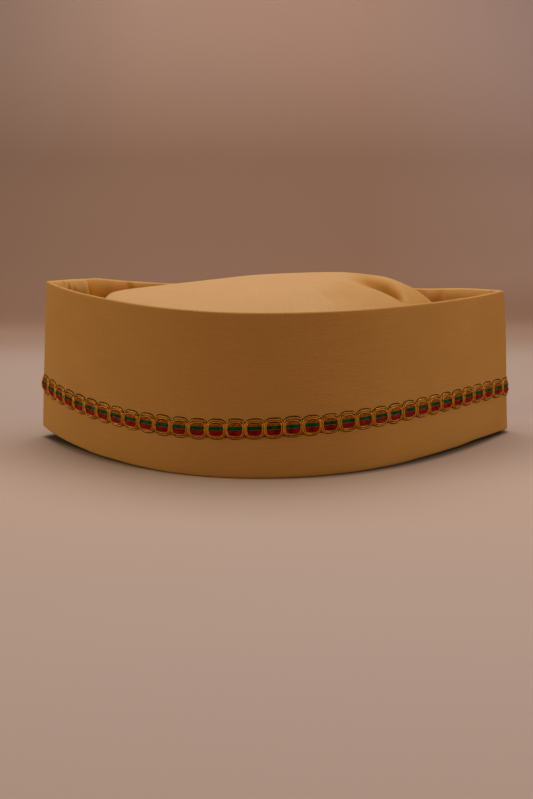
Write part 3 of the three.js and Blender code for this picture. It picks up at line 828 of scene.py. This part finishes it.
# The crown: an outer and an inner face, joined along the hem.
def makeCrown():
    outset = capForm["wallThickness"] + crownForm["clearance"]
    outer, outerTop, outerSide = crownFace(outset, False)
    inner, innerTop, innerSide = crownFace(outset + crownForm["cloth"], True)
    points = np.concatenate([outer, inner])
    innerTop, innerSide = innerTop + len(outer), innerSide + len(outer)
    along = runLength(points[outerSide[0]][:, :2], closed=True)[None, :]
    top = points[outerTop]
    u = top[..., 0]
    steps = np.linalg.norm(np.diff(top, axis=0), axis=2)
    v = np.concatenate([0 * steps[:1], np.cumsum(steps, axis=0)])
    rows = outerSide.shape[0]
    down = np.linspace(0, wallHeight, rows)[:, None]
    parts = [
        gridSquares(outerTop, u, v),
        gridSquares(innerTop[::-1], u, v),
        gridSquares(outerSide, along, down, closedAlong=True),
        gridSquares(innerSide[::-1], along, down, closedAlong=True),
        gridSquares(np.stack([innerSide[0], outerSide[0]]), along, down[:2], closedAlong=True),
    ]
    squares, corners = (np.concatenate([part[k] for part in parts]) for k in (0, 1))
    # Painted shade on the crown's top: on its slopes, along the creases, paler on a ridge, and in the valley.
    shade = np.zeros(len(points))
    place = top[..., 0] / halfLength
    across = np.linspace(0, 1, top.shape[0])[:, None] + 0 * place
    fall, beyond, _, valleyShade = valleyAt(place, across)
    look = crownShade
    nearSide = look["nearSlope"] * np.exp(-((across / look["nearWidth"]) ** 2))
    slopeShade = (look["slope"] + nearSide) * setIn(place, *look["slopeStart"])
    slopeShade = slopeShade + look["end"] * setIn(place, *look["endStart"])
    slopeShade = np.clip(slopeShade + creasesAt(place, across)[1], 0, 1)
    inValley = fall ** look["valleyCurve"] * np.exp(-beyond * beyond * look["valleyReach"])
    shade[outerTop] = np.maximum(valleyShade * inValley, slopeShade)
    return makePiece("crownCloth", points, squares, corners, litCrownCotton, shade)


band = makeBand()
crown = makeCrown()

# The line that the braid follows: the band's outer face at the braid's height, measured round.
fineRing = capRings([0], lambda station, side: np.full(station.shape, braidForm["centreHeight"]), 1200, 40)
ringPlan = np.stack([fineRing["x"][0], fineRing["y"][0]], -1)
ringDistance = runLength(ringPlan, closed=True)
ringTangent = np.roll(ringPlan, -1, axis=0) - np.roll(ringPlan, 1, axis=0)
ringHeading = np.unwrap(np.arctan2(ringTangent[:, 1], ringTangent[:, 0]))
repeats = int(round(ringDistance[-1] / braidForm["pitch"]))
pitch = ringDistance[-1] / repeats
firstRung = ringDistance[600] + braidForm["firstRungOffset"]


# Places on the braid: along it, up from its middle line and out from the cloth.
def onBand(along, up, out):
    along, up, out = np.broadcast_arrays(along, up, out)
    at = np.mod(along, ringDistance[-1])
    loop = [np.append(ringPlan[:, 0], ringPlan[0, 0]), np.append(ringPlan[:, 1], ringPlan[0, 1])]
    x, y = (np.interp(at, ringDistance, line) for line in loop)
    heading = np.interp(at, ringDistance, np.append(ringHeading, ringHeading[0] + 2 * math.pi))
    station = np.interp(at, ringDistance, np.append(fineRing["station"][0], fineRing["station"][0, 0]))
    isFar = np.interp(at, ringDistance, np.append(fineRing["far"][0], 0))
    wander = np.where(isFar > 0.5, 0, braidForm["wander"] * np.sin(math.pi * station))
    z = lowerEdge(station) + braidForm["centreHeight"] + wander + up
    offset = out - leanAt(z, station)
    outward = np.stack([np.sin(heading), -np.cos(heading), 0 * heading], -1)
    return np.stack([x, y, z], -1) + offset[..., None] * outward, outward


# Closed cords: a round section carried along closed paths, one path in each row of the points.
def cordSquares(path, outward, radius, sides, firstNumber):
    tangent = np.roll(path, -1, axis=1) - np.roll(path, 1, axis=1)
    tangent = tangent / np.linalg.norm(tangent, axis=2, keepdims=True)
    sideways = np.cross(tangent, outward)
    sideways = sideways / np.linalg.norm(sideways, axis=2, keepdims=True)
    level = np.cross(sideways, tangent)
    turn = (np.arange(sides) / sides * 2 * math.pi)[:, None]
    ring = np.cos(turn)[None, None] * level[:, :, None] + np.sin(turn)[None, None] * sideways[:, :, None]
    points = path[:, :, None] + radius * ring
    paths, steps = path.shape[:2]
    numbers = firstNumber + np.arange(paths * steps * sides).reshape(paths, steps, sides)
    squares, corners = [], []
    for k in range(paths):
        distance = runLength(path[k], closed=True)[:, None]
        around = np.linspace(0, 2 * math.pi * radius, sides + 1)[None, :]
        part = gridSquares(numbers[k], distance, around, closedDown=True, closedAlong=True)
        squares.append(part[0])
        corners.append(part[1])
    return points.reshape(-1, 3), np.concatenate(squares), np.concatenate(corners)


def makeCords(name, cords, material):
    points, squares, corners, count = [], [], [], 0
    for path, outward, radius, sides in cords:
        part = cordSquares(path, outward, radius, sides, count)
        count += len(part[0])
        for whole, piece in zip((points, squares, corners), part):
            whole.append(piece)
    return makePiece(name, np.concatenate(points), np.concatenate(squares), np.concatenate(corners), material)


# A ring of the braid's ground: a thin ribbed ribbon sewn to the band. Its near-black colour is
# painted shade in the gaps between the cords.
def makeBraidGround():
    look = braidForm
    steps = repeats * 10
    along = firstRung + np.arange(steps) / 10 * pitch
    half = look["groundHeight"] / 2
    face = np.linspace(-1, 1, look["groundColumns"])
    up = np.concatenate([face * half, [half, -half]]) + look["groundMiddle"]
    ribs = look["ribDepth"] * np.cos(face * half * 2 * math.pi / look["ribPitch"])
    out = np.concatenate([look["groundThickness"] + ribs, [look["groundHem"]] * 2])
    points, _ = onBand(along[None, :], up[:, None], out[:, None])
    numbers = gridNumbers(points)
    distance = np.append(along - along[0], ringDistance[-1])
    section = runLength(points[:, 0], closed=True)
    grid = (numbers, distance[None, :], section[:, None])
    squares, corners = gridSquares(*grid, closedDown=True, closedAlong=True)
    return makePiece("braidGround", points.reshape(-1, 3), squares, corners, paintedShadeCord)


# The loops: in each repeat two rounded rectangles of gold cord, one inside the other, whose sides
# stand over the threads and whose tops make the scalloped edge. A thin dark cord outside them is painted
# shadow.
def makeBraidLoops(name, insets, radius, material):
    look = braidForm
    rng = np.random.default_rng(look["loopSeed"])
    middles = (firstRung + (np.arange(repeats) + 0.5) * pitch)[:, None]
    steps = 30
    turn = (np.arange(steps) / steps * 2 * math.pi)[None, :]
    power = 2 / look["loopRoundness"]
    shares, wobbles = look["gapShares"], look["wobbles"]
    cords = []
    for inset in insets:
        gap = inset * look["loopGap"]
        wobble = rng.normal(0, 1, (repeats, 4))[:, :, None]
        halfWidth = look["loopHalfWidth"] - max(gap, 0) * shares["side"] + wobbles["side"] * wobble[:, 0]
        top = look["loopTop"] - gap * shares["top"] + wobbles["top"] * wobble[:, 1]
        foot = look["loopFoot"] + gap * shares["foot"] + wobbles["foot"] * wobble[:, 2]
        across, rise = np.cos(turn), np.sin(turn)
        along = middles + halfWidth * np.sign(across) * np.abs(across) ** power
        along = along + wobbles["along"] * wobble[:, 3]
        upright = np.sign(rise) * np.abs(rise) ** power
        up = np.where(upright > 0, upright * top, -upright * foot)
        overThreads = np.exp(-(((up - look["threadsMiddle"]) / look["threadsReach"]) ** 4))
        out = look["loopOut"] + look["overThreads"] * overThreads
        out = out * (1 if inset >= 0 else look["shadeLoopShare"]) + look["innerLoopOut"] * inset
        path, outward = onBand(along, up, out)
        cords.append((path, outward, radius, 6))
    return makeCords(name, cords, material)


# The rows of thread: strands side by side that swell in each window and are held down at the rungs.
def threadStrands(row, count):
    look = braidForm
    rng = np.random.default_rng(row["seed"])
    steps = 10
    along = firstRung + np.arange(repeats * steps)[None, :] / steps * pitch
    windowShare = (np.arange(repeats * steps) % steps / steps)[None, :]
    swell = np.sin(math.pi * windowShare) ** look["swellCurve"]
    cords = []
    for k in range(count):
        step = (k - (count - 1) / 2) * row["gap"]
        strayUp = np.repeat(rng.normal(0, look["strayUp"], repeats), steps)[None, :] * swell
        strayOut = np.repeat(rng.normal(0, look["strayOut"], repeats), steps)[None, :] * swell
        up = row["middle"] + step * mix(look["gatherAtRungs"], 1.0, swell) + strayUp
        out = look["threadOut"] + look["threadSwell"] * swell
        out = out - look["threadRounding"] * abs(step) + strayOut
        path, outward = onBand(along, up, out)
        cords.append((path, outward, row["radius"], 8))
    return cords


# The orange cords that run along the braid, each with its height and its radius.
def makeEdgeCords():
    steps = repeats * 10
    along = firstRung + np.arange(steps)[None, :] / 10 * pitch
    cords = []
    for up, radius in braidForm["edgeCords"]:
        path, outward = onBand(along, up, braidForm["edgeCordOut"])
        cords.append((path, outward, radius, 8))
    return makeCords("braidEdgeCords", cords, orangeCord)


ground = makeBraidGround()
loops = makeBraidLoops("braidLoops", (0.0, 1.0), braidForm["loopCordRadius"], goldCord)
# Painted shadow: a thin near-black cord just outside the gold loops.
paintedShadowLoops = makeBraidLoops("braidPaintedShadowLoops", (-0.55,), braidForm["shadeLoopRadius"], paintedShadeCord)
edgeCords = makeEdgeCords()
greenThread = makeCords("braidGreenThread", threadStrands(braidForm["greenRow"], 3), greenSilk)
redThread = makeCords("braidRedThread", threadStrands(braidForm["redRow"], 3), redSilk)

replaced = [
    (band, "band", "band_cloth"),
    (crown, "crown", "crown_cloth"),
    (ground, "braid_gold", "gold_braid"),
    (loops, "braid_gold", "gold_braid"),
    (paintedShadowLoops, "braid_gold", "gold_braid"),
    (edgeCords, "braid_gold", "gold_braid"),
    (greenThread, "braid_green_thread", "green_thread"),
    (redThread, "braid_red_thread", "red_thread"),
]
for piece, node, slotName in replaced:
    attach(piece, "root")
    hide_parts(node)
print("pieces ride on the cap")

stageLook = {
    "floorRoughness": 0.7,
    "floorSpecular": 0.2,
    "reach": 1.6,
    "floorRows": 12,
    "bendRows": 24,
    "columns": 9,
    "depths": [-0.24, -0.08, 0.0, 0.06, 0.19, 0.30, 0.41],
    "tones": [
        (0.49, 0.352, 0.32),
        (0.485, 0.34, 0.284),
        (0.45, 0.312, 0.256),
        (0.42, 0.298, 0.255),
        (0.41, 0.292, 0.25),
        (0.345, 0.212, 0.16),
        (0.262, 0.142, 0.096),
    ],
    "topTone": (0.43, 0.27, 0.222, 1),
    "topStart": 0.04,
    "topEnd": 0.27,
    "sideReach": 0.27,
    "sidePlaces": [0, 0.3, 0.7, 1],
    "sideTones": [(0.46, 0.48, 0.51), (0.5, 0.51, 0.51), (0.51, 0.51, 0.51), (0.6, 0.66, 0.77)],
    "sideFade": 0.03,
    "evenTone": (0.5, 0.5, 0.5, 1),
    "corner": (0.1, 0.3),
    "cornerShade": 0.36,
    "contactBows": [(0.062, 0.071), (0.062, 0.053)],
    "contactEdge": (-0.002, 0.003),
    "contactShadowTone": 0.22,
    "sweepStart": 0.36,
    "sweepRadius": 0.14,
    "wallTop": 0.9,
}


# The floor and the backdrop in one sweep: flat, then a quarter circle, then upright.
def makeStage():
    look = stageLook
    start, radius = look["sweepStart"], look["sweepRadius"]
    flat = np.linspace(-look["reach"], start, look["floorRows"])[:-1]
    bend = np.linspace(0, math.pi / 2, look["bendRows"])
    y = np.concatenate([flat, start + radius * np.sin(bend), [start + radius]])
    z = np.concatenate([0 * flat, radius * (1 - np.cos(bend)), [look["wallTop"]]])
    x = np.linspace(-look["reach"], look["reach"], look["columns"])
    points = np.stack(np.broadcast_arrays(x[None, :], y[:, None], z[:, None]), -1)
    squares, _ = gridSquares(gridNumbers(points), x[None, :], y[:, None])

    material = newMaterial("stagePaper")
    tree = material.node_tree
    place = addNode(tree, "TexCoord", {}).outputs["Object"]
    parts = addNode(tree, "SeparateXYZ", {"Vector": place})
    aside, back, up = (parts.outputs[axis] for axis in "XYZ")

    # The paper's tone changes with the distance back, and goes over to the top's tone up the wall: painted
    # light and shade, darker farther back and low on the wall, lighter towards the top, and warmer just in
    # front of the cap as painted shadow.
    first, last = look["depths"][0], look["depths"][-1]
    shares = [(at - first) / (last - first) for at in look["depths"]]
    tones = toneRamp(tree, ranged(tree, back, first, last), shares, look["tones"], "EASE")
    rise = ranged(tree, up, look["topStart"], look["topEnd"], interpolation_type="SMOOTHSTEP")
    colour = mixTones(tree, rise, tones, look["topTone"])

    # Above the floor a tone that changes from side to side takes over from an even one: painted light, a
    # little darker to the left and lighter and bluer to the right.
    sideways = ranged(tree, aside, -look["sideReach"], look["sideReach"])
    sides = toneRamp(tree, sideways, look["sidePlaces"], look["sideTones"])
    sided = mixTones(tree, ranged(tree, up, 0.0, look["sideFade"]), look["evenTone"], sides)

    # Painted shade: the two upper corners are darker.
    outward = ranged(tree, combined(tree, "ABSOLUTE", aside, 0.0), *look["corner"])
    corner = combined(tree, "MULTIPLY", outward, ranged(tree, up, *look["corner"]))
    corner = combined(tree, "MULTIPLY", corner, 2 * look["cornerShade"])
    level = combined(tree, "SUBTRACT", 2.0, corner)

    # Painted shadow: under the cap, between the parabolas that its two walls stand on, the floor is dark.
    along = combined(tree, "MULTIPLY", aside, 1 / (halfLength * mm))
    along = combined(tree, "MULTIPLY", along, along)
    inside = []
    for side, (reach, bow) in zip((1.0, -1.0), look["contactBows"]):
        edge = combined(tree, "SUBTRACT", reach, combined(tree, "MULTIPLY", along, bow))
        inside.append(combined(tree, "ADD", edge, combined(tree, "MULTIPLY", back, side)))
    contact = combined(tree, "MINIMUM", *inside)
    contact = ranged(tree, contact, *look["contactEdge"], 1.0, look["contactShadowTone"])
    level = combined(tree, "MULTIPLY", level, contact)

    paper = addNode(tree, "VectorMath", {0: colour, 1: sided}, operation="MULTIPLY")
    shaded = addNode(tree, "VectorMath", {0: paper.outputs["Vector"], "Scale": level}, operation="SCALE")
    surface = {"Roughness": look["floorRoughness"], "Specular IOR Level": look["floorSpecular"]}
    finishMaterial(material, {**surface, "Base Color": shaded.outputs["Vector"]})
    sweep = addObject("sweep", newMesh("sweep", points, squares, material))


def makeLight(name, place, target, size, power, colour):
    light = bpy.data.lights.new(name, "AREA")
    light.shape = "RECTANGLE"
    light.size, light.size_y = size
    light.energy = power
    light.color = colour
    lamp = addObject(name, light)
    lamp.location = place
    direction = np.array(target, float) - np.array(place, float)
    across = math.hypot(direction[0], direction[1])
    heading = math.atan2(direction[1], direction[0])
    lamp.rotation_euler = (math.atan2(across, -direction[2]), 0, heading - math.pi / 2)


# Each light's place, the place that it faces, its two sides, its power and its colour.
lightLook = {
    "topSoftbox": ((0.03, 0.15, 0.62), (0.0, 0.02, 0.0), (0.85, 0.44), 4.15, (0.94, 0.98, 1.0)),
    "leftFill": ((-0.92, -0.22, 0.52), (0.0, 0.0, 0.03), (0.5, 0.5), 3.0, (1.0, 0.99, 0.6)),
    "rightFill": ((0.85, -0.35, 0.52), (0.0, 0.0, 0.03), (0.5, 0.5), 2.4, (1.0, 0.99, 0.6)),
}
worldLook = {"Color": (1.0, 0.4, 0.15, 1), "Strength": 0.12}
makeStage()
for name, row in lightLook.items():
    makeLight(name, *row)
world = bpy.data.worlds.new("softRoom")
world.use_nodes = True
for socket, value in worldLook.items():
    world.node_tree.nodes["Background"].inputs[socket].default_value = value
scene.world = world
scene.view_settings.view_transform = "Standard"

cameraLook = {
    "place": (-0.022059, -0.463931, 0.1374),
    "downDegrees": 14.08,
    "rightDegrees": 1.9891,
    "lens": 42.80,
    "filmWidth": 36.0,
    "nearest": 0.01,
}
cameraData = bpy.data.cameras.new("camera")
cameraData.lens = cameraLook["lens"]
cameraData.sensor_width = cameraLook["filmWidth"]
cameraData.clip_start = cameraLook["nearest"]
camera = addObject("camera", cameraData)
camera.location = cameraLook["place"]
tilt, pan = math.radians(90 - cameraLook["downDegrees"]), -math.radians(cameraLook["rightDegrees"])
camera.rotation_euler = (tilt, 0, pan)
scene.camera = camera
print("stage, lights and camera made")

bpy.context.view_layer.update()
